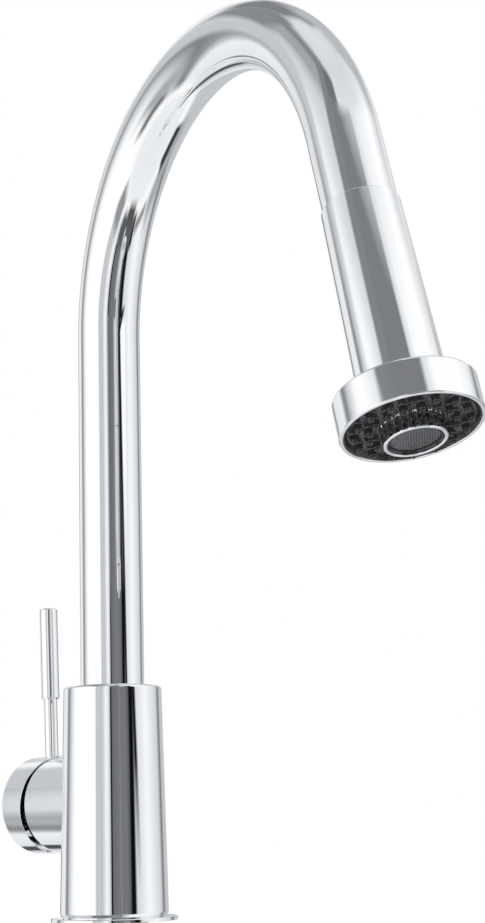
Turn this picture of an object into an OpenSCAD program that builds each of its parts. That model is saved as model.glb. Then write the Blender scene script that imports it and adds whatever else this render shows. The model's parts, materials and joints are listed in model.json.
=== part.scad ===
// Pull-down kitchen faucet with a high arc spout, a side lever and a docking spray head.
// Origin: centre of the base flange's underside, on the deck. +Z up, the spout points along -Y.

/* [Body] */
// Height of the body above the deck
body_height = 107; // [95:0.5:135]
// Diameter of the body at its foot
body_foot_d = 50; // [46:0.5:60]
// Diameter of the body at its top edge
body_top_d = 46; // [44:0.5:56]
// Radius of the body's rounded top edge
body_edge_r = 1.6; // [0.5:0.1:3]
// Wall of the body shell
body_wall = 2.4; // [2:0.1:4]
// Diameter of the flange on the deck
flange_d = 58.4; // [54:0.2:75]
// Thickness of the flange
flange_t = 1.8; // [1.4:0.1:4]

/* [Spout] */
// Outer diameter of the spout tube
tube_d = 30; // [26:0.5:32]
// Wall of the spout tube
tube_wall = 2; // [1.6:0.1:3]
// Height of the arch's start above the deck
arch_start_z = 276; // [180:1:360]
// Radius of the arch's centre line
arch_r = 108; // [70:1:140]
// Angle that the arch turns through
arch_angle = 163; // [140:1:180]
// Straight end of the spout after the arch
tail_l = 33.5; // [24:0.5:70]

/* [Spray head] */
// Length of the head's neck, from the spout to the bell
head_l = 81.5; // [74:0.5:110]
// Diameter of the head where it meets the spout
head_top_d = 31.6; // [30:0.2:36]
// Diameter of the head where it meets the bell
head_low_d = 34.4; // [33:0.2:38]
// Diameter of the bell
bell_d = 55; // [50:0.5:64]
// Height of the bell
bell_h = 15.5; // [14:0.5:22]
// Diameter of the aerator
aerator_d = 24.2; // [22:0.2:26]
// How far the aerator stands out past the bell's rim
aerator_out = 5.6; // [3:0.1:8]
// Nozzles in the inner ring of the spray face
inner_nozzles = 16; // [8:1:20]
// Nozzles in the outer ring of the spray face
outer_nozzles = 16; // [8:1:24]

/* [Handle] */
// Height of the handle's axis above the deck
hub_z = 53.5; // [48:0.5:60]
// Turn of the handle's axis from straight behind the spout
handle_swing = 11; // [-60:1:60]
// Diameter of the body's side boss
boss_d = 45; // [43:0.5:46]
// Distance of the boss's end from the body's axis
boss_reach = 40.3; // [38:0.1:50]
// Diameter of the handle's cap
cap_d = 46.4; // [44:0.2:50]
// Length of the cap along the handle's axis
cap_l = 17.8; // [16:0.2:24]
// Gap between the boss and the cap at the top
rim_gap = 0.3; // [0.3:0.1:1]
// Slant of the cap's rim, which leaves room to lift the lever
rim_slant = 5.3; // [5.2:0.1:8]
// Diameter of the lever's thin rod
rod_d = 6.6; // [5:0.1:8]
// Diameter of the lever's grip
grip_d = 8.9; // [7:0.1:12]
// Height of the grip's foot above the handle's axis
grip_start = 50.5; // [40:0.5:70]
// Height of the grip's top above the handle's axis
grip_top = 95.5; // [75:0.5:140]
// Outward lean of the lever
lever_lean = 2; // [0:0.5:6]

/* [Mounting] */
// Diameter of the threaded shank, for a 35 mm deck hole
shank_d = 32; // [30:0.5:34]
// Bore of the shank, which the hoses pass through
shank_bore = 27; // [26:0.5:28]
// Length of the shank below the deck
shank_l = 60; // [52:1:90]
// Thickness of the deck that is clamped
deck_t = 30; // [10:1:38]

/* [Hoses] */
// Diameter of the braided spray hose
hose_d = 10.5; // [9:0.1:11]
// Tapping diameter of the inlet and outlet threads
inlet_d = 9; // [8:0.1:9.4]

/* [Hidden] */
$fn = 96;

slip = 0.05;      // radial clearance of a running fit
seat = 0.05;      // radial clearance of a screwed or pressed piece
air = 0.3;        // gap round a piece that passes freely
cut = 1;          // how far a cutter runs past the face it opens
lap = 0.5;        // how far a straight pipe runs back into the bend before it
hair = 0.02;      // how much finer that pipe is, so that it starts inside the bend

// Body
seam_h = 0.4;
body_z = flange_t + seam_h;
floor_z = 16;
foot_r = body_foot_d / 2;
top_r = body_top_d / 2;
cavity_r = top_r - body_wall;
tube_r = tube_d / 2;
tube_bore = tube_r - tube_wall;
roof_t = 8;
shank_r = shank_d / 2;
gasket_t = 1;
gasket_in = shank_r + 3;
gasket_out = flange_d / 2 - 3.5;

// Swivel
bush_top = body_height - roof_t;
bush_l = 19;
bush_z = bush_top - bush_l;
tube_foot = bush_z + 2;
clip_z = tube_foot + 4;
clip_t = 2;
clip_out = 1.5;
groove_depth = 1.1;
ring_section = 1.1;
ring_places = [tube_foot + 9.5, tube_foot + 13];

// Valve
hose_r = hose_d / 2;
hose_y = -(shank_bore / 2 - hose_r - 0.35);
valve_top = bush_z - 8;
thread_l = 11;
inlet_r = inlet_d / 2;
inlet_reach = shank_bore / 2 - inlet_r - 0.6;
hot_at = [-inlet_reach * cos(10), inlet_reach * sin(10)];
cold_at = [inlet_reach * cos(10), inlet_reach * sin(10)];
mixed_at = [0, inlet_reach];
way_r = 2.4;
pocket_w = 8;
cartridge_r = 16;
neck_w = 33;
neck_wall = 2.6;
boss_r = boss_d / 2;
boss_bore = cartridge_r + seat + neck_wall + air;
port_spread = 8;
seal_r = 3.6;
seal_t = 1.2;
ceramic_t = 3;
ceramic_z = pocket_w + 2.5;
ceramic_r = 13.4;
moving_r = 11.6;
film = 0.05;
carrier_z = ceramic_z + 2 * ceramic_t + film;
carrier_r = 8.3;
carrier_end = 31;
housing_end = 29;
pivot_w = 21.5;
ball_r = 4;
stick_r = 3.4;
nut_hole = 10.5;

// Handle
cap_r = cap_d / 2;
cap_wall = 2.2;
cap_w = boss_reach + rim_gap;
cap_end = cap_w + cap_l;
cap_edge = 1;
socket_r = 7;
screw_w = cap_end - 9;
screw_r = 2.5;
stick_end = cap_end - 6;
rod_w = cap_end - 10;
rod_foot = cap_r - cap_wall - 1.5;

// Spray head, measured along its own axis from the end of the spout
seam = 0.5;
lip_t = 0.4;
shell_wall = 1.8;
shell_top_t = 3;
core_r = head_top_d / 2 - shell_wall - 0.1;
neck_r = 9.2;
neck_l = 12;
spigot_l = 20;
spigot_r = 8.9;
spigot_z = head_l - 15.5;
water_r = 4.5;
bell_gap = 0.4;
bell_z = head_l + bell_gap;
bell_end = head_l + bell_h;
bell_r = bell_d / 2;
bell_wall = 1.6;
bell_top_t = 2.2;
hub_out = head_top_d / 2 - shell_wall - 0.5;
plate_t = 3;
plate_r = bell_r - bell_wall - seat;
plate_top = bell_end - 2;
plate_z = plate_top - plate_t;
mat_t = 1.5;
nozzle_r = 1.9;
nozzle_tip = 1.15;
nozzle_out = 3.6;
aerator_r = aerator_d / 2;
aerator_end = bell_end + aerator_out;
aerator_z = plate_z - 3;
aerator_bore = aerator_r - 1.4;
face_in = aerator_r + 4.4;
face_out = bell_r - 5.7;
ferrule_l = 16;

// Transforms
module at_hub() translate([0, 0, hub_z]) rotate([0, 0, handle_swing]) rotate([-90, 0, 0]) children();
module along_lever() translate([0, 0, rod_w]) rotate([90 - lever_lean, 0, 0]) children();
module past_bend(r, a) translate([0, -r, 0]) rotate([a, 0, 0]) translate([0, r, 0]) children();
module at_tail() translate([0, 0, arch_start_z]) past_bend(arch_r, arch_angle) children();
module at_head() at_tail() translate([0, 0, tail_l]) children();

// Shapes
module ring(r_out, r_in, z, h)
    translate([0, 0, z])
        rotate_extrude()
            translate([r_in, 0]) square([r_out - r_in, h]);
module bend(r, a, pipe_r)
    translate([0, -r, 0])
        rotate(120, [1, 1, 1])
            rotate_extrude(angle = a, $fn = 120)
                translate([r, 0]) circle(pipe_r, $fn = 64);
module spout_path(pipe_r, from_z, tail_end) {
    translate([0, 0, from_z]) cylinder(r = pipe_r, h = arch_start_z - from_z);
    translate([0, 0, arch_start_z]) bend(arch_r, arch_angle, pipe_r);
    at_tail() disc(pipe_r - hair, -lap, lap + tail_end);
}
module turned(points) rotate_extrude() polygon(points);
module disc(r, z, h) translate([0, 0, z]) cylinder(r = r, h = h);
module around(n, r) for (i = [0 : n - 1]) rotate([0, 0, i * 360 / n]) translate([r, 0, 0]) children();
function edge_arc(cx, cz, r, from, to, n) =
    [for (i = [0 : n]) [cx + r * cos(from + (to - from) * i / n), cz + r * sin(from + (to - from) * i / n)]];

// Body and mounting
module base_flange() color("silver") difference() {
    turned(concat(
        [[shank_r + air, 0], [flange_d / 2, 0], [flange_d / 2, flange_t - 0.5],
         [flange_d / 2 - 0.5, flange_t], [foot_r - 1.4, flange_t], [foot_r - 1.4, body_z],
         [shank_r + air, body_z]]));
    ring(gasket_out, gasket_in, -cut, cut + gasket_t);
}

module flange_gasket() color("dimgray") ring(gasket_out - seat, gasket_in + seat, 0, gasket_t);

module shell_outline() turned(concat(
    [[0, body_z], [foot_r - 0.6, body_z], [foot_r, body_z + 1.4]],
    edge_arc(top_r - body_edge_r, body_height - body_edge_r, body_edge_r, 0, 90, 8),
    [[0, body_height]]));

module body_shell() color("gainsboro") difference() {
    union() {
        shell_outline();
        at_hub() disc(boss_r, 0, boss_reach);
    }
    translate([0, 0, floor_z]) cylinder(r = cavity_r, h = bush_top - floor_z);
    disc(shank_r + seat, -cut, floor_z + 2 * cut);
    disc(tube_r + air, bush_top - cut, roof_t + 2 * cut);
    at_hub() disc(boss_bore, 0, boss_reach + cut);
}

module mounting_shank() color("darkgoldenrod") ring(shank_r, shank_bore / 2, -shank_l, shank_l + floor_z);

module deck_washer() color("black") ring(27.5, shank_r + air, -deck_t - 3, 3);

module clamp_washer() color("silver") ring(26.5, shank_r + air, -deck_t - 5, 2);

nut_h = 12;
nut_z = -deck_t - 5 - nut_h;
module mounting_nut() color("goldenrod") difference() {
    union() {
        disc(23, nut_z, nut_h - 3);
        disc(26, nut_z + nut_h - 3, 3);
    }
    disc(shank_r + seat, nut_z - cut, nut_h + 2 * cut);
    around(3, 20.2) disc(screw_r + seat, nut_z - cut, nut_h + 2 * cut);
}

module nut_lock_screws() color("silver") around(3, 20.2) {
    disc(screw_r, nut_z - 4, nut_h + 4);
    difference() {
        disc(4, nut_z - 8, 4);
        translate([-4.5, -0.5, nut_z - 8 - cut]) cube([9, 1, 1.2 + cut]);
    }
}

// Valve
module port(at, z_to, w_to) {
    translate([at[0], at[1], floor_z + thread_l - lap]) cylinder(r = way_r, h = z_to - floor_z - thread_l + lap);
    translate([at[0], at[1], z_to]) rotate([0, 0, handle_swing]) rotate([-90, 0, 0])
        translate([0, 0, -way_r]) cylinder(r = way_r, h = w_to + way_r);
}

module valve_body() color("goldenrod") difference() {
    union() {
        disc(cavity_r - air, floor_z, valve_top - floor_z);
        at_hub() disc(cartridge_r + seat + neck_wall, 0, neck_w);
    }
    at_hub() disc(cartridge_r + seat, pocket_w, neck_w);
    for (at = [hot_at, cold_at, mixed_at])
        translate([at[0], at[1], floor_z - cut]) cylinder(r = inlet_r, h = thread_l + cut);
    port(hot_at, hub_z - 2, pocket_w);
    port(cold_at, hub_z - 2, pocket_w);
    port([0, mixed_at[1] - 3.2], hub_z - 8, pocket_w);
    hose_foot(hose_r + 1);
    translate([-hose_r - 1, -cavity_r - cut, floor_z - cut])
        cube([2 * hose_r + 2, cavity_r + cut + hose_y, valve_top]);
}

port_places = [[-port_spread, -1], [port_spread, -1], [0, port_spread]];

module cartridge_housing() color("whitesmoke") at_hub() difference() {
    disc(cartridge_r, pocket_w, housing_end - pocket_w);
    disc(ceramic_r + air, ceramic_z, housing_end - 3 - ceramic_z);
    disc(carrier_r + air, housing_end - 3 - cut, 3 + 2 * cut);
    for (p = port_places) translate([p[0], p[1], pocket_w]) {
        disc(way_r, -cut, 3 + 2 * cut);
        disc(seal_r, -cut, seal_t + cut);
    }
}

module cartridge_seals() color("black") at_hub()
    for (p = port_places) translate([p[0], p[1], pocket_w]) ring(seal_r - seat, way_r, 0, seal_t);

module fixed_ceramic_disc() color("white") at_hub() difference() {
    disc(ceramic_r, ceramic_z, ceramic_t);
    for (p = port_places) translate([p[0], p[1], ceramic_z]) disc(way_r, -cut, ceramic_t + 2 * cut);
}

module moving_ceramic_disc() color("lightgray") at_hub() difference() {
    disc(moving_r, ceramic_z + ceramic_t + film, ceramic_t);
    disc(6.5, ceramic_z + ceramic_t - cut, 1.6 + cut);
}

module spindle_carrier() color("ivory") at_hub() difference() {
    union() {
        disc(ceramic_r - air, carrier_z, housing_end - 3 - 0.2 - carrier_z);
        disc(carrier_r, carrier_z, carrier_end - carrier_z);
    }
    translate([0, 0, pivot_w]) sphere(r = ball_r + air);
    translate([0, 0, pivot_w]) cylinder(r1 = stick_r + 1.2, r2 = carrier_r - 1.4, h = carrier_end - pivot_w + 0.01);
    disc(stick_r + 1.2, pivot_w + 2, carrier_end);
    translate([0, 0, pivot_w]) rotate([0, 90, 0]) disc(1.5 + slip, -15, 30);
}

module lever_pin() color("silver") at_hub() translate([0, 0, pivot_w]) rotate([0, 90, 0]) disc(1.5, -12, 24);

module cartridge_lever() color("silver") at_hub() difference() {
    union() {
        translate([0, 0, pivot_w]) sphere(r = ball_r);
        disc(stick_r, pivot_w, stick_end - pivot_w);
    }
    translate([0, 0, pivot_w]) rotate([0, 90, 0]) disc(1.5 + slip, -15, 30);
}

module cartridge_nut() color("goldenrod") at_hub() difference() {
    disc(cartridge_r, housing_end, neck_w - housing_end);
    disc(nut_hole, housing_end - cut, neck_w);
    around(6, cartridge_r) disc(1.2, neck_w - 2, 2 + cut);
}

bonnet_r = cartridge_r + neck_wall - 0.6;
module cartridge_bonnet() color("black") at_hub() turned(concat(
    [[nut_hole + 1.5, neck_w], [bonnet_r, neck_w], [bonnet_r, boss_reach - 1.5]],
    edge_arc(bonnet_r - 3, boss_reach - 1.5, 3, 0, 90, 6),
    [[nut_hole + 1.5, boss_reach + 1.5]]));

// Handle
module cap_outline(r, end, e)
    turned(concat([[0, cap_w - 4], [r, cap_w - 4]], edge_arc(r - e, end - e, e, 0, 90, 6), [[0, end]]));

module handle_cap() color("gainsboro") at_hub() difference() {
    union() {
        difference() {
            cap_outline(cap_r, cap_end, cap_edge);
            disc(cap_r - cap_wall, cap_w - 5, cap_l + 5 - 3);
            translate([0, -cap_r, cap_w]) rotate([rim_slant, 0, 0])
                translate([-cap_r - cut, -cut, -10]) cube([2 * cap_r + 2 * cut, 2 * cap_r + 5, 10]);
        }
        disc(socket_r, cap_w - 0.5, cap_l - 1);
    }
    disc(stick_r + seat, cap_w - cut, stick_end - cap_w + cut + 0.5);
    translate([0, 0, screw_w]) rotate([-90, 0, 0]) disc(screw_r + seat, stick_r - 0.5, cap_r);
    along_lever() disc(rod_d / 2, rod_foot, 10);
}

module handle_set_screw() color("dimgray") at_hub() translate([0, 0, screw_w]) rotate([-90, 0, 0]) difference() {
    disc(screw_r, stick_r + seat, 5.5);
    translate([0, 0, stick_r + seat + 3.5]) cylinder(r = 1.25, h = 3, $fn = 6);
}

module lever_rod() color("gainsboro") at_hub() along_lever()
    disc(rod_d / 2, rod_foot, grip_start - rod_foot + 10);

module lever_grip() color("gainsboro") at_hub() along_lever() difference() {
    turned(concat([[0, grip_start], [rod_d / 2 + 0.1, grip_start], [grip_d / 2, grip_start + 1]],
        edge_arc(grip_d / 2 - 0.8, grip_top - 0.8, 0.8, 0, 90, 6), [[0, grip_top]]));
    disc(rod_d / 2 + seat, grip_start - cut, 10 + cut);
}

// Swivel and spout
module swivel_bush() color("whitesmoke") difference() {
    disc(cavity_r - seat, bush_z, bush_l);
    disc(tube_r + slip, tube_foot, bush_l);
    disc(tube_bore - 0.5, bush_z - cut, bush_l);
    ring(tube_r + clip_out + air, tube_r - 1, clip_z - 0.1, clip_t + 0.2);
}

module spout_tube() color("gainsboro") difference() {
    spout_path(tube_r, tube_foot, tail_l);
    spout_path(tube_bore, tube_foot - cut, tail_l + cut);
    for (z = ring_places) ring(tube_r + cut, tube_r - groove_depth, z, ring_section);
    ring(tube_r + cut, tube_r - groove_depth, clip_z, clip_t);
}

module spout_o_rings() color("black") for (z = ring_places)
    translate([0, 0, z + ring_section / 2])
        rotate_extrude()
            translate([tube_r - groove_depth + ring_section / 2, 0]) circle(ring_section / 2, $fn = 24);

module retaining_clip() color("silver") difference() {
    ring(tube_r + clip_out, tube_r - groove_depth, clip_z, clip_t);
    translate([0, -3, clip_z - cut]) cube([tube_r + clip_out + cut, 6, clip_t + 2 * cut]);
}

collar_bore = neck_r + air;
collar_l = 18;
module docking_collar() color("black") at_head() turned([
    [collar_bore + 0.6, -collar_l], [tube_bore - seat, -collar_l], [tube_bore - seat, 0],
    [tube_r - 0.5, 0], [tube_r - 0.5, lip_t], [collar_bore, lip_t], [collar_bore, -collar_l + 1]]);

// Hose
hose_bend = 34;
hose_gap = 0.05;
hose_bend_r = 20;
hose_slant_l = (-hose_y - 2 * hose_bend_r * (1 - cos(hose_bend))) / sin(hose_bend);
hose_split_z = tube_foot;
hose_bend_z = hose_split_z - 2 * hose_bend_r * sin(hose_bend) - hose_slant_l * cos(hose_bend);

module hose_foot(r) {
    translate([0, hose_y, -shank_l]) cylinder(r = r - hair, h = shank_l + hose_bend_z + lap);
    translate([0, hose_y, hose_bend_z]) mirror([0, 1, 0]) {
        bend(hose_bend_r, hose_bend, r);
        past_bend(hose_bend_r, hose_bend) disc(r - hair, -lap, hose_slant_l + 2 * lap);
    }
    translate([0, 0, hose_split_z]) mirror([0, 0, 1]) bend(hose_bend_r, hose_bend, r);
}

module hose_lower() color("slategray") hose_foot(hose_r);

module hose_upper() color("slategray") {
    disc(hose_r - hair, hose_split_z, arch_start_z - hose_split_z + lap);
    translate([0, 0, arch_start_z]) bend(arch_r, arch_angle, hose_r);
}

module hose_tail() color("slategray") at_tail() disc(hose_r, hose_gap, tail_l - neck_l - ferrule_l + 4 - hose_gap);

module hose_ferrule() color("silver") at_head() difference() {
    union() {
        disc(hose_r + 0.9, -neck_l - ferrule_l, ferrule_l + 4);
        disc(6.3, -neck_l + 4, 13);
    }
    disc(hose_r, -neck_l - ferrule_l - cut, 4 + cut);
    disc(3, -neck_l - ferrule_l - cut, ferrule_l + 30);
}

// Spray head
module head_shell() color("gainsboro") at_head() difference() {
    turned([
        [0, seam], [head_top_d / 2 - 0.4, seam], [head_top_d / 2, seam + 0.4],
        [head_low_d / 2, head_l], [0, head_l]]);
    disc(core_r + 0.1, seam + shell_top_t, head_l);
    disc(neck_r + 0.1, 0, 10);
}

module head_core() color("dimgray") at_head() difference() {
    union() {
        disc(neck_r, -neck_l, neck_l + seam + shell_top_t);
        disc(core_r, seam + shell_top_t, spigot_z - seam - shell_top_t);
        disc(spigot_r, spigot_z, spigot_l);
    }
    disc(6.3, -neck_l - cut, 20 + cut);
    disc(water_r, 0, head_l + 20);
    difference() {
        disc(core_r - 3, 24, 24);
        disc(water_r + 2.5, 23, 26);
    }
    ring(neck_r + 1, neck_r - 0.8, -neck_l + 3, 2);
}

module dock_ring() color("ivory") at_head() ring(collar_bore - slip, neck_r - 0.8, -neck_l + 3, 2);

module hose_washer() color("black") at_head() ring(6.2, 3.2, 5, 2.5);

module check_valve() color("steelblue") at_head() difference() {
    disc(water_r - seat, 30, 12);
    disc(2.6, 29, 10);
    around(4, 3.3) disc(0.6, 36, 8);
}

retainer_z = spigot_z + spigot_l;
module bell_retainer() color("goldenrod") at_head() difference() {
    union() {
        disc(spigot_r + 2, retainer_z, 2);
        disc(water_r - seat, retainer_z - 9, 10);
    }
    disc(2.6, retainer_z - 10, 20);
}

// Bell and spray face
module bell() color("gainsboro") at_head() difference() {
    union() {
        turned(concat(
            [[0, bell_z]],
            edge_arc(bell_r - 1, bell_z + 1, 1, -90, 0, 5),
            edge_arc(bell_r - 0.6, bell_end - 0.6, 0.6, 0, 90, 4),
            [[bell_r - bell_wall, bell_end], [bell_r - bell_wall, bell_z + bell_top_t],
             [0, bell_z + bell_top_t]]));
        disc(hub_out, spigot_z + 1, retainer_z - 0.1 - spigot_z - 1);
    }
    disc(spigot_r + slip, spigot_z, spigot_l + 2);
}

module nozzle_ring(n, r, turn) rotate([0, 0, turn]) around(n, r) children();
module nozzle_places() {
    nozzle_ring(inner_nozzles, face_in, 0) children();
    nozzle_ring(outer_nozzles, face_out, 180 / outer_nozzles) children();
}

module spray_plate() color("black") at_head() difference() {
    union() {
        disc(plate_r, plate_z, plate_t);
        turned([[plate_r - 2, plate_top - 0.5], [plate_r, plate_top - 0.5], [plate_r, bell_end - 0.5],
            [plate_r - 0.4, bell_end - 0.5], [plate_r - 1.6, plate_top], [plate_r - 2, plate_top]]);
    }
    disc(aerator_r + seat, plate_z - cut, plate_t + 2 * cut);
    nozzle_places() disc(nozzle_r + seat, plate_z - cut, plate_t + 2 * cut);
}

module spray_nozzles() color("dimgray") at_head() {
    ring(bell_r - bell_wall - 0.6, aerator_r + 0.8, plate_z - mat_t, mat_t);
    nozzle_places() {
        disc(nozzle_r, plate_z - 0.5, plate_t + 0.5);
        translate([0, 0, plate_top]) cylinder(r1 = nozzle_r, r2 = nozzle_tip, h = nozzle_out);
    }
}

module aerator_housing() color("silver") at_head() difference() {
    turned(concat([[0, aerator_z], [aerator_r, aerator_z]],
        edge_arc(aerator_r - 0.6, aerator_end - 0.6, 0.6, 0, 90, 4), [[0, aerator_end]]));
    disc(aerator_bore, aerator_z + 2, 30);
    disc(water_r, aerator_z - cut, 10);
    around(24, aerator_r + 0.4) disc(1, plate_top + 0.4, aerator_end - 1.1 - plate_top - 0.4);
}

module aerator_insert() color("black") at_head() difference() {
    disc(aerator_bore - seat, aerator_z + 2, aerator_end - 0.9 - aerator_z - 2);
    disc(aerator_bore - 1.3, aerator_end - 1.9, 5);
    around(8, 5) disc(1, aerator_z, 20);
}

module aerator_screen() color("darkgray") at_head() disc(aerator_bore - 1.4, aerator_end - 1.9, 0.5);

base_flange();
flange_gasket();
body_shell();
mounting_shank();
deck_washer();
clamp_washer();
mounting_nut();
nut_lock_screws();
valve_body();
cartridge_housing();
cartridge_seals();
fixed_ceramic_disc();
cartridge_nut();
cartridge_bonnet();
swivel_bush();
hose_lower();
moving_ceramic_disc();
spindle_carrier();
lever_pin();
cartridge_lever();
handle_cap();
handle_set_screw();
lever_rod();
lever_grip();
spout_tube();
spout_o_rings();
retaining_clip();
docking_collar();
hose_upper();
head_shell();
head_core();
dock_ring();
hose_tail();
hose_ferrule();
hose_washer();
check_valve();
bell_retainer();
bell();
spray_plate();
spray_nozzles();
aerator_housing();
aerator_insert();
aerator_screen();
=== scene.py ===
import json
import math

import bpy
from mathutils import Matrix, Vector


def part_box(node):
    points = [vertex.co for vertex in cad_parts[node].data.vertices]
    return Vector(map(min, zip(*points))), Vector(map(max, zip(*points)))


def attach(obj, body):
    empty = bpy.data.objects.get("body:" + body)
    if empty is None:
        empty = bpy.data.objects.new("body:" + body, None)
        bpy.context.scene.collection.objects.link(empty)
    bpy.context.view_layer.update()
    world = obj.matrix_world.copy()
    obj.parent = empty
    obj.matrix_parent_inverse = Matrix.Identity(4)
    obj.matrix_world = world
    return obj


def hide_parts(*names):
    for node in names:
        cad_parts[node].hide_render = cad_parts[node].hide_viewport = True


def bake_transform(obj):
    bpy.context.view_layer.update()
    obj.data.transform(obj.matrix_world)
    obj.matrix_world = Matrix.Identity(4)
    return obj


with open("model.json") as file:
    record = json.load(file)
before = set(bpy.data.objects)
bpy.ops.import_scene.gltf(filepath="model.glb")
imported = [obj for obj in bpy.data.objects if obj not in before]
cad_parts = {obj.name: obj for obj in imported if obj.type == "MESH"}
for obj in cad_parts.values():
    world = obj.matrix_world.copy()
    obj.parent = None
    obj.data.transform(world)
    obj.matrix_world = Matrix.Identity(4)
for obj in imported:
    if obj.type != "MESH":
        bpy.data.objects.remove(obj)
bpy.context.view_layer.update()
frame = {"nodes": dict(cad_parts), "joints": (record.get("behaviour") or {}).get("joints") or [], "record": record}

# Sizes in metres. Radii and places come from the frame where a node gives them.
MM = 0.001
DEG = math.pi / 180
SIDES = 128
WALL = 2 * MM

joints = {joint["name"]: joint for joint in frame["joints"]}
slots = {part["node"]: part["material_slot"] for part in frame["record"]["subparts"]}
nodes = frame["nodes"]


def half_width(node):
    low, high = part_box(node)
    return (high.x - low.x) / 2


def top_of(node):
    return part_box(node)[1].z


def foot_of(node):
    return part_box(node)[0].z


# The spout: a straight pipe, an arch and a straight tail
TUBE_R = half_width("spout_tube")
TUBE_FOOT = foot_of("spout_tube")
ARCH_START = 276 * MM
ARCH_R = 108 * MM
ARCH_ANGLE = 163 * DEG
TAIL = 33.5 * MM

# The body and its side boss
BODY_TOP = top_of("body_shell")
BODY_FOOT = foot_of("body_shell")
BODY_FOOT_R = 25 * MM
BODY_TOP_R = 23 * MM
CAVITY_R = 20.6 * MM
ROOF = 8 * MM
FLOOR_TOP = 16 * MM
HUB_Z = joints["handle_turn"]["pos_m"][2]
HUB_AXIS = Vector(joints["handle_turn"]["axis"])
BOSS_R = 22.5 * MM
BOSS_BORE = 18.95 * MM
BOSS_REACH = 40.3 * MM
SHANK_R = half_width("mounting_shank")
SHANK_FOOT = foot_of("mounting_shank")
SHANK_BORE = 13.5 * MM

# The handle
CAP_R = 23.2 * MM
CAP_WALL = 2.2 * MM
CAP_START = 40.6 * MM
CAP_END = 58.4 * MM
RIM_SLANT = 5.3 * DEG
LEVER_AT = 48.4 * MM
LEVER_LEAN = 2 * DEG
ROD_START = 19.5 * MM
ROD_R = 3.3 * MM
GRIP_R = 4.45 * MM
GRIP_START = 50.5 * MM
GRIP_TOP = 95.5 * MM

# The spray head, measured along its own axis from the end of the spout
HEAD_AXIS = Vector(joints["head_pull"]["axis"])
SEAM = 0.5 * MM
HEAD_L = 81.5 * MM
HEAD_TOP_R = 15.8 * MM
HEAD_LOW_R = half_width("head_shell")
BELL_START = 81.9 * MM
BELL_END = 97 * MM
BELL_R = half_width("bell")
BELL_WALL = 1.6 * MM
SLEEVE_R = 13.5 * MM
SLEEVE_BORE = 8.95 * MM
SLEEVE_START = 67 * MM
SLEEVE_END = 85.8 * MM
AERATOR_R = half_width("aerator_housing")
AERATOR_END = 102.6 * MM
AERATOR_BORE = 10.7 * MM
PLATE_TOP = 95 * MM
NOZZLES = 16
NOZZLE_IN = 16.5 * MM
NOZZLE_OUT = 21.8 * MM
MESH_R = 9.6 * MM

# Gaps between pieces that touch or nearly touch
CLEAR = 0.3 * MM
SNUG = 0.05 * MM

# Where each group of pieces stands
hub_frame = (
    Matrix.Translation((0, 0, HUB_Z))
    @ Matrix.Rotation(math.atan2(-HUB_AXIS.x, HUB_AXIS.y), 4, "Z")
    @ Matrix.Rotation(-math.pi / 2, 4, "X")
)
lever_frame = (
    hub_frame
    @ Matrix.Translation((0, 0, LEVER_AT))
    @ Matrix.Rotation(math.pi / 2 - LEVER_LEAN, 4, "X")
)
tail_frame = (
    Matrix.Translation((0, -ARCH_R, ARCH_START))
    @ Matrix.Rotation(ARCH_ANGLE, 4, "X")
    @ Matrix.Translation((0, ARCH_R, 0))
)
head_frame = tail_frame @ Matrix.Translation((0, 0, TAIL))
upright = Matrix.Identity(4)


# ---------------------------------------------------------------- camera
CAMERA_PLACE = (-0.390, -0.7903, 0.04326)
CAMERA_TURN = -30.416 * DEG
CAMERA_RISE = 10.975 * DEG
CAMERA_ROLL = -1.36 * DEG
CAMERA_LENS = 72.42


def place_camera():
    """The camera stands low in front of the faucet and looks up at it."""
    bpy.ops.object.camera_add()
    camera = bpy.context.object
    camera.matrix_world = (
        Matrix.Translation(CAMERA_PLACE)
        @ Matrix.Rotation(CAMERA_TURN, 4, "Z")
        @ Matrix.Rotation(math.pi / 2 + CAMERA_RISE, 4, "X")
        @ Matrix.Rotation(CAMERA_ROLL, 4, "Z")
    )
    camera.data.lens = CAMERA_LENS
    camera.data.sensor_width = 36
    camera.data.clip_start = 0.01
    bpy.context.scene.camera = camera


place_camera()


# ---------------------------------------------------------------- finishes
class Wire:
    """A shader socket that can be used in sums."""

    def __init__(self, finish, socket):
        self.finish = finish
        self.socket = socket

    def maths(self, operation, *values):
        return self.finish.add("Math", {"operation": operation}, *values)

    def __add__(self, other):
        return self.maths("ADD", self, other)

    def __sub__(self, other):
        return self.maths("SUBTRACT", self, other)

    def __rsub__(self, other):
        return self.maths("SUBTRACT", other, self)

    def __mul__(self, other):
        return self.maths("MULTIPLY", self, other)

    def __truediv__(self, other):
        return self.maths("DIVIDE", self, other)

    __radd__ = __add__
    __rmul__ = __mul__


class Finish:
    """A material or the world, as a sheet of shader nodes."""

    def __init__(self, owner, shader):
        owner.use_nodes = True
        self.owner = owner
        self.tree = owner.node_tree
        self.shader = self.tree.nodes[shader]

    def feed(self, socket, value):
        """Links a wire to the socket, or sets its value. A colour gets its alpha here."""
        if isinstance(value, Wire):
            self.tree.links.new(value.socket, socket)
        elif isinstance(value, (tuple, list)) and len(socket.default_value) == len(value) + 1:
            socket.default_value = (*value, 1)
        else:
            socket.default_value = value

    def add(self, kind, settings, *values, take=0, **named):
        """Adds a node. Settings come first, then its sockets in order or by name."""
        node = self.tree.nodes.new("ShaderNode" + kind)
        for key, setting in settings.items():
            if key == "stops":
                fill_ramp(node.color_ramp, setting)
            else:
                setattr(node, key, setting)
        for socket, value in zip(node.inputs, values):
            self.feed(socket, value)
        for key, value in named.items():
            self.feed(node.inputs[key.replace("_", " ")], value)
        return Wire(self, node.outputs[take])

    def set(self, **values):
        for key, value in values.items():
            self.feed(self.shader.inputs[key.replace("_", " ")], value)


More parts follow.
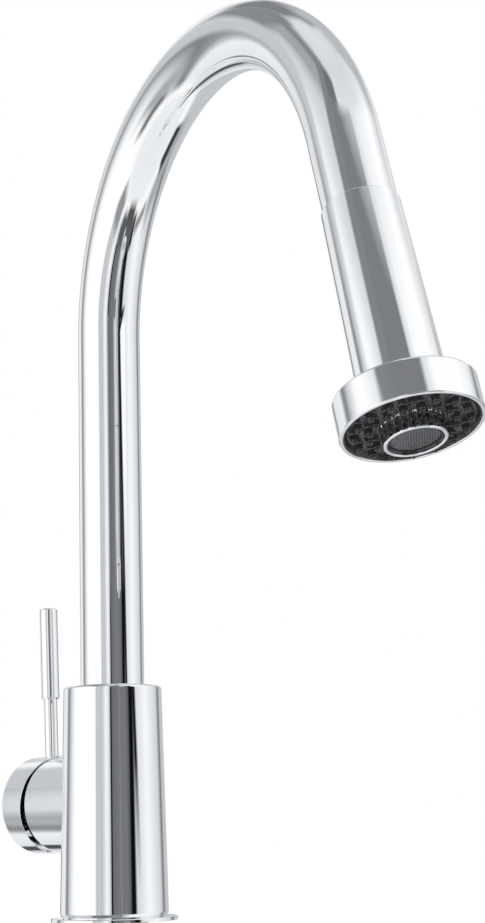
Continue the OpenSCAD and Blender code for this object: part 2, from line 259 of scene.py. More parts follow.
def fill_ramp(ramp, stops):
    while len(ramp.elements) > 1:
        ramp.elements.remove(ramp.elements[-1])
    for number, (place, colour) in enumerate(stops):
        element = ramp.elements[0] if number == 0 else ramp.elements.new(place)
        element.position = place
        element.color = (*colour, 1)


def new_finish(name):
    return Finish(bpy.data.materials.new(name), "Principled BSDF")


def spot(finish, shift=(0, 0, 0), turn=(0, 0, 0)):
    """Object coordinates, turned and shifted."""
    where = finish.add("TexCoord", {}, take="Object")
    return finish.add("Mapping", {"vector_type": "POINT"}, where, shift, turn)


def split(finish, vector):
    """A vector's three parts."""
    parts = finish.add("SeparateXYZ", {}, vector).socket.node.outputs
    return [Wire(finish, socket) for socket in parts]


def noise(finish, where, scale, detail=3.0, rough=0.5):
    return finish.add("TexNoise", {}, Vector=where, Scale=scale, Detail=detail, Roughness=rough)


def bumps(finish, height, strength, depth):
    return finish.add("Bump", {}, Strength=strength, Distance=depth, Height=height)


# Where a Mix node keeps its two colours and its mixed colour
COLOUR_A, COLOUR_B = 6, 7
COLOUR_OUT = 2


def blend_colours(finish, amount, first, second):
    """The first colour where the amount is 0 and the second where it is 1."""
    mixed = finish.add("Mix", {"data_type": "RGBA"}, take=COLOUR_OUT)
    inputs = mixed.socket.node.inputs
    finish.feed(inputs["Factor"], amount)
    finish.feed(inputs[COLOUR_A], first)
    finish.feed(inputs[COLOUR_B], second)
    return mixed


def polished_chrome():
    """Bright plating: a deep mirror with a faint haze where it was wiped."""
    finish = new_finish("polished_chrome")
    where = spot(finish)
    haze = noise(finish, where, 38, 4, 0.6)
    ripple = noise(finish, where, 55, 1)
    finish.set(
        Base_Color=blend_colours(finish, haze, (0.88, 0.885, 0.895), (0.93, 0.935, 0.94)),
        Metallic=1.0,
        Roughness=haze * haze * 0.05 + 0.012,
        Normal=bumps(finish, ripple, 0.012, 0.4 * MM),
    )
    return finish.owner


def machined(name, dark, bright, rough, pitch):
    """Turned metal with fine tool rings across its axis."""
    finish = new_finish(name)
    where = spot(finish)
    rings = finish.add("TexWave", {"wave_type": "BANDS", "bands_direction": "Z"}, Vector=where,
                       Scale=pitch, Distortion=1.5, Detail=2.0)
    stain = noise(finish, where, 90, 5, 0.65)
    finish.set(
        Base_Color=blend_colours(finish, stain, dark, bright),
        Metallic=1.0,
        Roughness=stain * 0.16 + rough,
        Normal=bumps(finish, rings, 0.12, 0.2 * MM),
    )
    return finish.owner


def brass():
    return machined("brass", (0.50, 0.34, 0.12), (0.78, 0.60, 0.28), 0.24, 420)


def steel():
    return machined("steel", (0.42, 0.43, 0.44), (0.66, 0.67, 0.68), 0.22, 600)


def moulded(name, dark, bright, rough, grain, depth, gloss=0.5):
    """Moulded plastic, rubber or ceramic with a fine eroded grain."""
    finish = new_finish(name)
    where = spot(finish)
    fine = noise(finish, where, grain, 3, 0.55)
    broad = noise(finish, where, grain / 14, 2)
    finish.set(
        Base_Color=blend_colours(finish, broad, dark, bright),
        Roughness=fine * 0.18 + rough,
        Normal=bumps(finish, fine, 0.25, depth),
        Specular_IOR_Level=gloss,
    )
    return finish.owner


def black_rubber():
    return moulded("black_rubber", (0.012, 0.012, 0.012), (0.03, 0.03, 0.03), 0.62, 2600, 0.08 * MM, 0.35)


def grey_silicone():
    return moulded("grey_silicone", (0.010, 0.010, 0.012), (0.024, 0.025, 0.028), 0.12, 1500,
                   0.02 * MM, 0.75)


def black_nylon():
    return moulded("black_nylon", (0.008, 0.008, 0.009), (0.020, 0.020, 0.022), 0.20, 900, 0.06 * MM)


def white_acetal():
    return moulded("white_acetal", (0.72, 0.71, 0.66), (0.80, 0.79, 0.75), 0.34, 1800, 0.03 * MM)


def ceramic():
    return moulded("ceramic", (0.78, 0.77, 0.73), (0.84, 0.83, 0.80), 0.12, 3800, 0.01 * MM)


def blue_plastic():
    return moulded("blue_plastic", (0.03, 0.10, 0.30), (0.06, 0.16, 0.40), 0.32, 1800, 0.03 * MM)


def braid(name, place):
    """A woven sleeve: two families of strands wound opposite ways round the hose's axis, with painted shade in the
    hollows between the strands.
    """
    strands = 12
    pitch = 56 * MM / strands
    finish = new_finish(name)
    back = place.inverted()
    local = spot(finish, tuple(back.translation), tuple(back.to_euler("XYZ")))
    across, over, along = split(finish, local)
    angle = across.maths("ARCTAN2", over, across) * strands
    climb = along * (2 * math.pi / pitch)
    right = finish.add("Math", {"operation": "SINE"}, angle + climb)
    left = finish.add("Math", {"operation": "SINE"}, angle - climb)
    # The weave's height: high on the strands and low between them. Besides the bumps, it darkens the colour below,
    # which is painted shade in the hollows of the weave.
    weave = right.maths("MAXIMUM", right, left) * 0.5 + 0.5
    thread = right * left
    finish.set(
        Base_Color=blend_colours(finish, weave, (0.06, 0.065, 0.07), (0.34, 0.36, 0.38)),
        Roughness=weave * 0.2 + 0.35,
        Metallic=0.0,
        Normal=bumps(finish, weave + thread * 0.3, 0.8, 0.4 * MM),
    )
    return finish.owner


FINISHES = {
    "polished_chrome": polished_chrome(),
    "brass": brass(),
    "steel": steel(),
    "black_rubber": black_rubber(),
    "grey_silicone": grey_silicone(),
    "black_nylon": black_nylon(),
    "white_acetal": white_acetal(),
    "ceramic": ceramic(),
    "blue_plastic": blue_plastic(),
    "hose_braid": braid("hose_braid", head_frame),
}


def give(piece, material):
    piece.data.materials.clear()
    piece.data.materials.append(material)


for name, node in nodes.items():
    give(node, FINISHES[slots[name]])


# ---------------------------------------------------------------- modelling
def clear_selection():
    bpy.ops.object.select_all(action="DESELECT")


def only(piece):
    clear_selection()
    piece.select_set(True)
    bpy.context.view_layer.objects.active = piece


def rounded(corners, steps=6):
    """An outline of (r, z) corners, where a corner's third number is the radius that rounds it."""
    points = []
    for number, corner in enumerate(corners):
        if len(corner) == 2:
            points.append(Vector(corner))
            continue
        here = Vector(corner[:2])
        back = (Vector(corners[number - 1][:2]) - here).normalized()
        on = (Vector(corners[(number + 1) % len(corners)][:2]) - here).normalized()
        half = back.angle(on) / 2
        centre = here + (back + on).normalized() * corner[2] / math.sin(half)
        first = here + back * corner[2] / math.tan(half) - centre
        last = here + on * corner[2] / math.tan(half) - centre
        sweep = first.angle_signed(last)
        for step in range(steps + 1):
            turn = Matrix.Rotation(-sweep * step / steps, 2)
            points.append(centre + turn @ first)
    return points


def turned(name, corners, place=upright, closed=False, sides=SIDES):
    """A piece of revolution about the local Z axis, as on a lathe."""
    points = rounded(corners)
    if closed:
        points.append(points[0])
    clear_selection()
    bpy.ops.mesh.primitive_plane_add(size=MM)
    piece = bpy.context.object
    piece.name = name
    bpy.ops.object.mode_set(mode="EDIT")
    bpy.ops.mesh.select_all(action="SELECT")
    bpy.ops.mesh.merge(type="CENTER")
    bpy.ops.transform.translate(value=(points[0].x, 0, points[0].y))
    for start, end in zip(points, points[1:]):
        step = (end.x - start.x, 0, end.y - start.y)
        bpy.ops.mesh.extrude_region_move(TRANSFORM_OT_translate={"value": step})
    bpy.ops.mesh.select_all(action="SELECT")
    bpy.ops.mesh.spin(steps=sides, angle=2 * math.pi, center=(0, 0, 0), axis=(0, 0, 1))
    close_up()
    bpy.ops.object.mode_set(mode="OBJECT")
    return settle(piece, place)


def close_up():
    """Merges doubles and turns every face outwards, in edit mode."""
    bpy.ops.mesh.select_all(action="SELECT")
    bpy.ops.mesh.remove_doubles(threshold=0.002 * MM)
    bpy.ops.mesh.normals_make_consistent(inside=False)


def settle(piece, place):
    """Puts the piece in its place and leaves its object at the origin."""
    only(piece)
    piece.matrix_world = place
    bpy.ops.object.transform_apply(location=True, rotation=True, scale=True)
    return piece


def use(piece, kind, **settings):
    """Adds a modifier and applies it."""
    only(piece)
    modifier = piece.modifiers.new(kind.lower(), kind)
    for key, value in settings.items():
        setattr(modifier, key, value)
    bpy.ops.object.modifier_apply(modifier=modifier.name)


def combine(piece, tool, operation):
    """Adds the tool to the piece or cuts it away, and removes the tool."""
    use(piece, "BOOLEAN", operation=operation, object=tool, solver="EXACT")
    only(tool)
    bpy.ops.object.delete()


def soften(piece, width=0.0, sharp=30):
    """Breaks the sharp edges a little, then shades the piece smooth."""
    if width:
        use(piece, "BEVEL", width=width, segments=3, limit_method="ANGLE", angle_limit=40 * DEG,
            use_clamp_overlap=True)
    only(piece)
    bpy.ops.object.shade_smooth_by_angle(angle=sharp * DEG)
    use(piece, "WEIGHTED_NORMAL", keep_sharp=True, weight=80, thresh=0.01)


def pick(piece, test, kind="faces"):
    """Selects the faces or vertices that pass the test. The piece is in edit mode before and after."""
    bpy.ops.mesh.select_all(action="DESELECT")
    bpy.ops.object.mode_set(mode="OBJECT")
    for part in getattr(piece.data, "polygons" if kind == "faces" else "vertices"):
        part.select = test(part)
    bpy.ops.object.mode_set(mode="EDIT")


def copies(piece, places):
    """The piece copied to each place and joined with the copies."""
    made = []
    for place in places:
        copy = piece.copy()
        copy.data = piece.data.copy()
        bpy.context.collection.objects.link(copy)
        copy.data.transform(place)
        made.append(copy)
    only(made[0])
    for copy in made:
        copy.select_set(True)
    bpy.ops.object.join()
    joined = bpy.context.object
    only(piece)
    bpy.ops.object.delete()
    return joined


def finished(piece, body, slot, *stands_for, material=None):
    """The piece takes its finish, moves with its body and stands for its CAD nodes."""
    give(piece, material or FINISHES[slot])
    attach(piece, body)
    if stands_for:
        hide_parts(*stands_for)
    return piece


# ---------------------------------------------------------------- body and mounting
def make_body():
    """The body casting: a slightly tapered shell with the handle's boss on its side."""
    below, above = BODY_FOOT - MM, BODY_TOP + MM
    roof = BODY_TOP - ROOF
    tube_way = TUBE_R + CLEAR
    past_boss = BOSS_REACH + MM
    body = turned("body", [
        (0, BODY_FOOT), (BODY_FOOT_R - 0.6 * MM, BODY_FOOT, 0.2 * MM),
        (BODY_FOOT_R, BODY_FOOT + 1.4 * MM, 0.6 * MM), (BODY_TOP_R, BODY_TOP, 1.6 * MM), (0, BODY_TOP)])
    boss = turned("boss", [
        (0, 0), (BOSS_R, 0), (BOSS_R, BOSS_REACH, 0.35 * MM), (0, BOSS_REACH)], hub_frame)
    combine(body, boss, "UNION")
    cavity = turned("cavity", [
        (0, below), (SHANK_R, below), (SHANK_R, FLOOR_TOP), (CAVITY_R, FLOOR_TOP), (CAVITY_R, roof),
        (tube_way, roof), (tube_way, above), (0, above)])
    combine(body, cavity, "DIFFERENCE")
    bore = turned("bore", [
        (0, 0), (BOSS_BORE, 0), (BOSS_BORE, past_boss), (0, past_boss)], hub_frame)
    combine(body, bore, "DIFFERENCE")
    soften(body, sharp=14)
    return finished(body, "faucet_body", "polished_chrome", "body_shell")


def make_flange():
    """The thin disc between the body and the deck, with a groove below for its gasket."""
    radius = half_width("base_flange")
    bore = SHANK_R + CLEAR
    groove_in, groove_out, groove_top = 18.9 * MM, 25.8 * MM, 1 * MM
    seat, brim = 23.6 * MM, 1.8 * MM
    flange = turned("flange", [
        (bore, 0), (groove_in, 0), (groove_in, groove_top), (groove_out, groove_top), (groove_out, 0),
        (radius, 0, 0.15 * MM), (radius, brim, 0.5 * MM), (seat, brim), (seat, BODY_FOOT),
        (bore, BODY_FOOT)], closed=True)
    soften(flange)
    return finished(flange, "faucet_body", "polished_chrome", "base_flange")


def make_shank():
    """The threaded shank: a plain tube with a screw thread wound on it."""
    pitch = 1.5 * MM
    turns = 36
    depth = 0.75 * MM
    root = SHANK_R - depth
    end = 0.6 * MM
    shank = turned("shank", [
        (SHANK_BORE, SHANK_FOOT), (root, SHANK_FOOT), (root, SHANK_FOOT + end), (root, FLOOR_TOP - end),
        (root, FLOOR_TOP), (SHANK_BORE, FLOOR_TOP)], closed=True)
    clear_selection()
    bpy.ops.mesh.primitive_plane_add(size=MM)
    thread = bpy.context.object
    bpy.ops.object.mode_set(mode="EDIT")
    bpy.ops.mesh.select_all(action="SELECT")
    bpy.ops.mesh.merge(type="CENTER")
    flank, crest = pitch * 0.40, pitch * 0.14
    tooth = [(-depth - 0.1 * MM, 0), (depth, flank), (0, crest), (-depth, flank)]
    bpy.ops.transform.translate(value=(SHANK_R, 0, SHANK_FOOT + MM))
    for out, up in tooth:
        bpy.ops.mesh.extrude_region_move(TRANSFORM_OT_translate={"value": (out, 0, up)})
    pick(thread, lambda v: v.index == 0, "vertices")
    bpy.ops.mesh.delete(type="VERT")
    bpy.ops.object.mode_set(mode="OBJECT")
    use(thread, "SCREW", angle=2 * math.pi, screw_offset=pitch, iterations=turns, steps=64,
        render_steps=64, use_merge_vertices=True)
    bpy.ops.object.mode_set(mode="EDIT")
    close_up()
    bpy.ops.object.mode_set(mode="OBJECT")
    only(shank)
    thread.select_set(True)
    bpy.ops.object.join()
    soften(shank)
    return finished(shank, "faucet_body", "brass", "mounting_shank")


make_body()
make_flange()
make_shank()


# ---------------------------------------------------------------- spout
def pull(step):
    """Extrudes the selected ring by one step, in edit mode."""
    bpy.ops.mesh.extrude_region_move(TRANSFORM_OT_translate={"value": step})


def round_the_arch(steps):
    """Spins the selected ring from the column's top to the tail's start, in edit mode."""
    bpy.ops.mesh.spin(
        steps=steps, angle=-ARCH_ANGLE, center=(0, -ARCH_R, ARCH_START), axis=(1, 0, 0))


def make_spout():
    """One drawn tube: a circle pulled up, spun round the arch and pulled on to the tail's end."""
    column_steps, arch_steps, tail_steps = 12, 160, 3
    rise = (0, 0, (ARCH_START - TUBE_FOOT) / column_steps)
    reach = tuple(HEAD_AXIS * TAIL / tail_steps)
    clear_selection()
    bpy.ops.mesh.primitive_circle_add(vertices=SIDES, radius=TUBE_R, location=(0, 0, TUBE_FOOT))
    spout = bpy.context.object
    spout.name = "spout"
    bpy.ops.object.transform_apply(location=True)
    bpy.ops.object.mode_set(mode="EDIT")
    bpy.ops.mesh.select_all(action="SELECT")
    for _ in range(column_steps):
        pull(rise)
    round_the_arch(arch_steps)
    for _ in range(tail_steps):
        pull(reach)
    close_up()
    bpy.ops.object.mode_set(mode="OBJECT")
    use(spout, "SOLIDIFY", thickness=WALL, offset=-1)
    soften(spout, 0.12 * MM)
    return finished(spout, "spout", "polished_chrome", "spout_tube")


def make_collar():
    """The black docking collar in the spout's end. Its lip reaches almost to the tube's outside and shows as the
    dark seam above the head: a dark piece that stands in for the shade in that gap.
    """
    # The lip stops 0.1 mm short of the tube's outside, so the seam shows black. This is painted shade in the gap,
    # carried by a dark piece.
    lip = TUBE_R - 0.1 * MM
    lip_under, lip_top = 0.02 * MM, SEAM - 0.04 * MM
    outside = TUBE_R - WALL - SNUG
    bore = 9.5 * MM
    start = -18 * MM
    chamfer = 0.6 * MM
    collar = turned("collar", [
        (bore + chamfer, start), (outside, start), (outside, lip_under), (lip, lip_under), (lip, lip_top),
        (bore, lip_top, 0.15 * MM), (bore, start + MM)], head_frame, closed=True)
    soften(collar)
    return finished(collar, "spout", "black_nylon", "docking_collar")


make_spout()
make_collar()


# ---------------------------------------------------------------- spray head
def make_head_shell():
    """The head's tapered grip: a hollow cone with a thick end that the hose's nut stands in."""
    neck_bore, neck_end = 9.3 * MM, SEAM + 3 * MM
    bore = 14.1 * MM
    shell = turned("head_grip", [
        (neck_bore, SEAM), (HEAD_TOP_R, SEAM, 0.15 * MM), (HEAD_LOW_R, HEAD_L, 0.25 * MM), (bore, HEAD_L),
        (bore, neck_end), (neck_bore, neck_end)], head_frame, closed=True)
    soften(shell)
    return finished(shell, "spray_head", "polished_chrome", "head_shell")


def make_bell():
    """The wide bell round the spray face, with the sleeve that it turns on."""
    bore = BELL_R - BELL_WALL
    web_end = BELL_START + 2.2 * MM
    bell = turned("bell_ring", [
        (SLEEVE_BORE, SLEEVE_START), (SLEEVE_R, SLEEVE_START), (SLEEVE_R, BELL_START),
        (BELL_R, BELL_START, 1 * MM), (BELL_R, BELL_END, 0.5 * MM), (bore, BELL_END, 0.3 * MM),
        (bore, web_end), (SLEEVE_R, web_end), (SLEEVE_R, SLEEVE_END), (SLEEVE_BORE, SLEEVE_END)],
        head_frame, closed=True)
    soften(bell)
    return finished(bell, "spray_face", "polished_chrome", "bell")


def make_plate():
    """The black face plate: a low ridge round the aerator and a sloping band up to the bell's rim."""
    back = PLATE_TOP - 3 * MM
    hole = AERATOR_R + SNUG
    ridge_in, ridge_out, ridge_top = 12.6 * MM, 13.2 * MM, PLATE_TOP + 0.35 * MM
    edge, edge_top = BELL_R - BELL_WALL - SNUG, BELL_END - 0.5 * MM
    plate = turned("face_plate", [
        (hole, back), (edge, back), (edge, edge_top), (edge - 0.4 * MM, edge_top),
        (edge - 1.6 * MM, PLATE_TOP, 0.3 * MM), (ridge_out + 0.4 * MM, PLATE_TOP),
        (ridge_out, ridge_top, 0.1 * MM), (ridge_in, ridge_top, 0.1 * MM), (hole, PLATE_TOP)],
        head_frame, closed=True)
    soften(plate)
    return finished(plate, "spray_face", "black_nylon", "spray_plate")


def nozzle_places():
    """Two rings of sixteen, the outer ring half a step round from the inner."""
    step = 2 * math.pi / NOZZLES
    rings = [(NOZZLE_IN, 0), (NOZZLE_OUT, step / 2)]
    return [
        head_frame @ Matrix.Rotation(start + step * n, 4, "Z") @ Matrix.Translation((radius, 0, PLATE_TOP))
        for radius, start in rings for n in range(NOZZLES)]


def make_nozzles():
    """The soft nozzles: a foot, a tapered stem and a rolled lip round the water hole."""
    foot, lip, hole = 2.15 * MM, 1.14 * MM, 0.6 * MM
    stem_top, tip = 2.6 * MM, 3.58 * MM
    nozzle = turned("nozzle", [
        (0, -1 * MM), (foot, -1 * MM), (foot, 0.1 * MM, 0.12 * MM), (1.9 * MM, 0.35 * MM, 0.15 * MM),
        (1.62 * MM, 0.55 * MM, 0.2 * MM), (1.38 * MM, stem_top, 0.4 * MM), (lip, 2.95 * MM, 0.2 * MM),
        (lip, tip, 0.2 * MM), (hole, tip, 0.16 * MM), (0.42 * MM, 2.7 * MM), (0, stem_top)], sides=28)
    nozzles = copies(nozzle, nozzle_places())
    nozzles.name = "nozzles"
    soften(nozzles)
    return finished(nozzles, "spray_face", "grey_silicone", "spray_nozzles")


def make_aerator():
    """The aerator's ring: plain at the end, with flutes round its side for a key."""
    inlet = 4.5 * MM
    start, floor = PLATE_TOP - 6 * MM, PLATE_TOP - 4 * MM
    ring = turned("aerator_ring", [
        (inlet, start), (AERATOR_R, start), (AERATOR_R, AERATOR_END, 0.35 * MM),
        (AERATOR_BORE, AERATOR_END, 0.3 * MM), (AERATOR_BORE, floor), (inlet, floor)],
        head_frame, closed=True, sides=192)
    flutes, flute_r = 24, 0.95 * MM
    flute_l = AERATOR_END - PLATE_TOP - 1.5 * MM
    flute = turned("flute", [(0, 0), (flute_r, 0), (flute_r, flute_l, 0.3 * MM), (0, flute_l)], sides=20)
    places = [
        head_frame @ Matrix.Rotation(2 * math.pi * n / flutes, 4, "Z")
        @ Matrix.Translation((AERATOR_R + 0.3 * MM, 0, PLATE_TOP + 0.4 * MM)) for n in range(flutes)]
    combine(ring, copies(flute, places), "DIFFERENCE")
    soften(ring, sharp=25)
    return finished(ring, "spray_face", "polished_chrome", "aerator_housing")


def make_insert():
    """The black insert in the aerator, with a bead round the mesh."""
    top = AERATOR_END - 0.9 * MM
    foot, floor = top - 4 * MM, top - 1.6 * MM
    rim_top, groove, bead_top = top - 0.2 * MM, top - 0.7 * MM, top - 0.1 * MM
    outside = AERATOR_BORE - SNUG
    insert = turned("insert", [
        (0, foot), (outside, foot), (outside, rim_top), (10.1 * MM, rim_top, 0.1 * MM),
        (9.95 * MM, groove), (9.75 * MM, groove), (MESH_R, bead_top, 0.1 * MM),
        (9.4 * MM, bead_top, 0.1 * MM), (9.3 * MM, floor), (0, floor)], head_frame)
    soften(insert)
    return finished(insert, "spray_face", "black_nylon", "aerator_insert")


def make_mesh():
    """The wire mesh: a grid cut round, with each edge made into a wire."""
    cells, wire, weave_turn = 24, 0.36 * MM, 0.6
    middle = Matrix.Translation((0, 0, AERATOR_END - 1.7 * MM))
    clear_selection()
    bpy.ops.mesh.primitive_grid_add(x_subdivisions=cells, y_subdivisions=cells, size=cells * MM)
    mesh = bpy.context.object
    mesh.name = "mesh"
    bpy.ops.object.mode_set(mode="EDIT")
    pick(mesh, lambda face: face.center.length > MESH_R)
    bpy.ops.mesh.delete(type="FACE")
    bpy.ops.object.mode_set(mode="OBJECT")
    use(mesh, "WIREFRAME", thickness=wire, use_replace=True, use_even_offset=False)
    settle(mesh, head_frame @ middle @ Matrix.Rotation(weave_turn, 4, "Z"))
    soften(mesh)
    return finished(mesh, "spray_face", "steel", "aerator_screen")


make_head_shell()
make_bell()
make_plate()
make_nozzles()
make_aerator()
make_insert()
make_mesh()


# ---------------------------------------------------------------- hose
def hose_ring(place):
    """A circle of the hose's size, in edit mode and ready to be extruded."""
    clear_selection()
    bpy.ops.mesh.primitive_circle_add(vertices=32, radius=half_width("hose_upper"))
    hose = settle(bpy.context.object, place)
    bpy.ops.object.mode_set(mode="EDIT")
    bpy.ops.mesh.select_all(action="SELECT")
    return hose


def make_hose():
    """The spray hose's length in the column and the arch."""
    start = foot_of("hose_upper")
    hose = hose_ring(Matrix.Translation((0, 0, start)))
    hose.name = "hose"
    pull((0, 0, ARCH_START - start))
    round_the_arch(120)
    close_up()
    bpy.ops.object.mode_set(mode="OBJECT")
    soften(hose)
    return finished(hose, "spout", "hose_braid", "hose_upper")


def make_hose_end():
    """The hose's end from the spout's tail towards the head. The real hose draws out after the head when it is
    pulled; this piece is a fixed length and is not attached to a body.
    """
    steps = 90
    length = TAIL - 24 * MM
    end = hose_ring(tail_frame)
    end.name = "hose_end"
    for _ in range(steps):
        pull(tuple(HEAD_AXIS * length / steps))
    close_up()
    bpy.ops.object.mode_set(mode="OBJECT")
    soften(end)
    give(end, FINISHES["hose_braid"])
    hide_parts("hose_tail")
    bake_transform(end)
    return end


make_hose()
make_hose_end()


# ---------------------------------------------------------------- handle
def make_cap():
    """The handle's cap: a deep cup whose rim is cut on a slant."""
    blank_start = CAP_START - 4 * MM
    bore, crown = CAP_R - CAP_WALL, CAP_END - 3 * MM
    hole_r, hole_start, hole_end = 2.5 * MM, 15 * MM, 30 * MM
    cap = turned("cap", [
        (0, CAP_END), (CAP_R, CAP_END, 1 * MM), (CAP_R, blank_start), (bore, blank_start), (bore, crown),
        (0, crown)])
    bpy.ops.object.mode_set(mode="EDIT")
    bpy.ops.mesh.select_all(action="SELECT")
    bpy.ops.mesh.bisect(
        plane_co=(0, -CAP_R, CAP_START),
        plane_no=(0, -math.sin(RIM_SLANT), math.cos(RIM_SLANT)),
        clear_inner=True)
    bpy.ops.mesh.select_mode(type="EDGE")
    bpy.ops.mesh.select_all(action="DESELECT")
    bpy.ops.mesh.select_non_manifold(
        use_wire=False, use_multi_face=False, use_non_contiguous=False, use_verts=False)
    bpy.ops.mesh.bridge_edge_loops()
    bpy.ops.mesh.select_mode(type="VERT")
    close_up()
    bpy.ops.object.mode_set(mode="OBJECT")
    settle(cap, hub_frame)
    hole_frame = (
        hub_frame
        @ Matrix.Translation((0, 0, CAP_END - 9 * MM))
        @ Matrix.Rotation(-math.pi / 2, 4, "X")
    )
    hole = turned("hole", [(0, hole_start), (hole_r, hole_start), (hole_r, hole_end), (0, hole_end)],
                  hole_frame, sides=32)
    combine(cap, hole, "DIFFERENCE")
    soften(cap, 0.2 * MM)
    return finished(cap, "handle", "polished_chrome", "handle_cap")


def make_rod():
    """The lever's thin rod, which ends inside the grip."""
    end = GRIP_START + 6 * MM
    rod = turned("rod", [(0, ROD_START), (ROD_R, ROD_START), (ROD_R, end), (0, end)], lever_frame, sides=64)
    soften(rod)
    return finished(rod, "handle", "polished_chrome", "lever_rod")


def make_grip():
    """The lever's thicker grip."""
    grip = turned("grip", [
        (ROD_R, GRIP_START, 0.2 * MM), (GRIP_R, GRIP_START + MM, 0.3 * MM), (GRIP_R, GRIP_TOP, 0.8 * MM),
        (0, GRIP_TOP)], lever_frame, sides=64)
    soften(grip)
    return finished(grip, "handle", "polished_chrome", "lever_grip")


make_cap()
make_rod()
make_grip()


# ---------------------------------------------------------------- studio
# The walls, from left to right as the faucet sees them: a direction in degrees, 0 towards the
# camera, and the brightness there from 0 to 255. They stand between WALL_FOOT and WALL_TOP
WALL_FOOT, WALL_TOP = -42, 26
WALLS = [
    (-180, 235), (-169, 190), (-166, 100), (-161, 100), (-158, 225), (-132, 236), (-125, 150), (-121, 130),
    (-112, 200), (-100, 245), (-90, 255), (-42, 255), (-37, 178), (-34, 205), (-28, 190), (-22, 208),
    (-16, 245), (-10, 225), (-5, 140), (-2, 105), (15, 120), (19, 200), (25, 200), (29, 112), (35, 95),
    (38, 24), (46, 18), (50, 214), (80, 246), (118, 208), (131, 112), (140, 192)]
# The brightness from straight down, through level, to straight up
HEIGHTS = [
    (-90, 232), (-56, 236), (-46, 250), (24, 255), (34, 238), (44, 228), (56, 222), (70, 214), (90, 222)]
# Screens, flags and shadows: left, right, bottom and top in degrees, brightness, soft edge, lean
SCREENS = [
    # Overhead, where the arch sees them
    (-126, -52, 28, 46, 212, 14, 0),
    (-126, -56, 44, 70, 164, 12, 0),
    (-150, -104, 20, 40, 196, 10, 0),
    (-150, -112, 41, 71, 136, 8, 0),
    (-200, -148, 46, 73, 128, 7, 0),
    (150, 200, 42, 73, 136, 9, 0),
    (116, 172, 32, 66, 182, 14, 0),
    (-132, -40, 61, 70, 132, 6, 0),
    (-60, -26, 28, 68, 130, 6, 0),
    (-44, -18, 51, 66, 112, 6, 0),
    (-40, 22, 33, 52, 124, 8, 0),
    (36, 100, 24, 50, 253, 12, 0),
    # At about the eye's level, where the column and the body see them
    (42, 62, 9, 30, 250, 4, 0),
    (53, 61, 2, 22, 30, 4, -1.25),
    (16, 29, -3, 8, 116, 2, 0),
    # Below, where the head and the bell see them
    (-118, -94, -30, -12, 170, 10, 0),
    (-108, -82, -40, -29, 112, 8, 0),
    (-170, -160, -62, 0, 80, 4, 0),
    (-44, -18, -48, -28, 148, 8, 0),
    (-4, 50, -47, -29, 92, 7, 0),
    (12, 46, -54, -42, 84, 7, 0),
    (16, 21, -40, -26, 205, 4, 0),
    (60, 92, -41, -34, 130, 6, 0),
    (98, 150, -38, -22, 166, 10, 0),
    (116, 148, -50, -36, 58, 6, 0),
    (-6, -2.6, -28, 7, 6, 1.4, 0),
    (29, 35, -30, -3, 52, 4, 0),
    (41, 50, -47, -28, 10, 5, -0.2),
]
CAMERA_SIDE = math.atan2(CAMERA_PLACE[1], CAMERA_PLACE[0])
AIM = Vector((0, -0.1, 0.2))
PLATING_SHINE = 0.9
COOL_TINT = 0.035


def level(value):
    """A brightness from 0 to 255 as the light that the plating shows at that brightness."""
    light = (value / 255) ** 2.2 / PLATING_SHINE
    cool = COOL_TINT * min(1, (255 - value) / 40)
    return (light * (1 - cool), light * (1 - cool * 0.1), light * (1 + cool))


def fade(studio, distance, width):
    """Rises from 0 to 1 over the width of a soft edge, with its middle where the distance is 0."""
    return studio.add("Math", {"operation": "MULTIPLY_ADD", "use_clamp": True}, distance, 1 / width, 0.5)


def screen(studio, behind, turn, height, place):
    """Stands one screen in front of what is behind it."""
    left, right, bottom, top, shade, soft, lean = place
    across = turn - height * lean
    mask = fade(studio, across - left, soft)
    for distance in (right - across, height - bottom, top - height):
        mask = mask * fade(studio, distance, soft)
    return blend_colours(studio, mask, behind, level(shade))


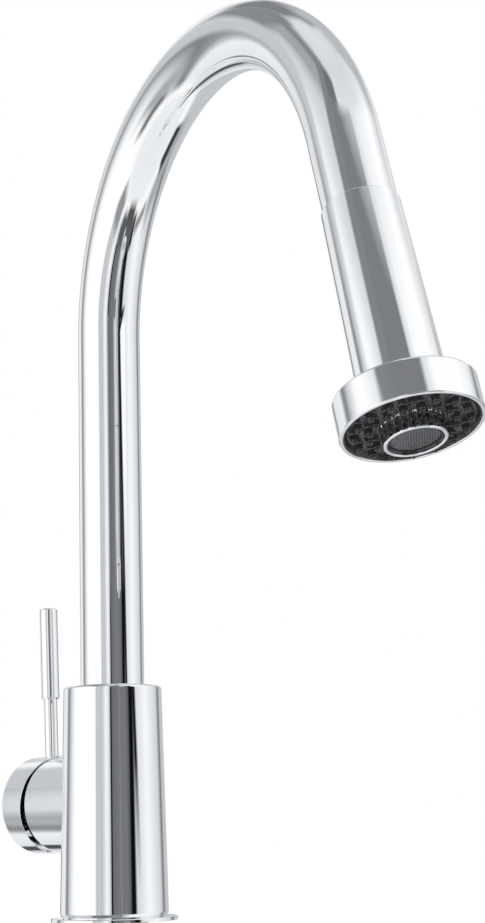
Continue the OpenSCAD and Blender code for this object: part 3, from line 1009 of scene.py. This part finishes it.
def bands(studio, places, span, place):
    """A ramp through the brightness at each place, in degrees over a span round 0."""
    stops = [(degrees / span + 0.5, level(shade)) for degrees, shade in places]
    return studio.add("ValToRGB", {"stops": stops}, place)


def light_studio():
    """A white studio with dark flags and grey screens round the faucet, seen only in reflections."""
    world = bpy.data.worlds.new("studio")
    bpy.context.scene.world = world
    studio = Finish(world, "Background")
    where = studio.add("TexCoord", {}, take="Generated")
    east, north, up = split(studio, where)
    turn = (up.maths("ARCTAN2", north, east) - CAMERA_SIDE) / (2 * math.pi) + 0.5
    turn = turn.maths("FRACT", turn)
    height = up.maths("ARCSINE", up) / math.pi + 0.5
    walls = bands(studio, WALLS, 360, turn)
    heights = bands(studio, HEIGHTS, 180, height)
    turn = turn * 360 - 180
    height = height * 180 - 90
    on_walls = fade(studio, height - WALL_FOOT, 10) * fade(studio, WALL_TOP - height, 8)
    colour = blend_colours(studio, on_walls, heights, walls)
    for place in SCREENS:
        colour = screen(studio, colour, turn, height, place)
    seen = studio.add("LightPath", {}, take="Is Camera Ray")
    studio.set(Color=blend_colours(studio, seen, colour, (1, 1, 1)), Strength=1.0)


def stand_floor():
    """A pale floor well below the deck, which lights the faucet from below and isn't mirrored in it."""
    clear_selection()
    bpy.ops.mesh.primitive_circle_add(vertices=96, radius=1.5, fill_type="NGON", location=(0, -0.1, -0.3))
    floor = bpy.context.object
    floor.name = "floor"
    finish = new_finish("floor")
    finish.set(Base_Color=(0.9, 0.9, 0.9), Roughness=0.6)
    give(floor, finish.owner)
    floor.visible_glossy = False


def hang_softbox(name, place, size, energy):
    """A square lamp that faces the faucet and isn't mirrored in it."""
    bpy.ops.object.light_add(type="AREA", location=place)
    lamp = bpy.context.object
    lamp.name = name
    lamp.data.size = size
    lamp.data.energy = energy
    lamp.rotation_euler = (AIM - lamp.location).to_track_quat("-Z", "Y").to_euler()
    lamp.visible_glossy = False


light_studio()
stand_floor()
hang_softbox("key", (-0.6, -0.9, 1.5), 1.4, 14)
hang_softbox("low", (-0.3, -1.0, -0.1), 0.5, 5)
bpy.context.scene.view_settings.view_transform = "Standard"
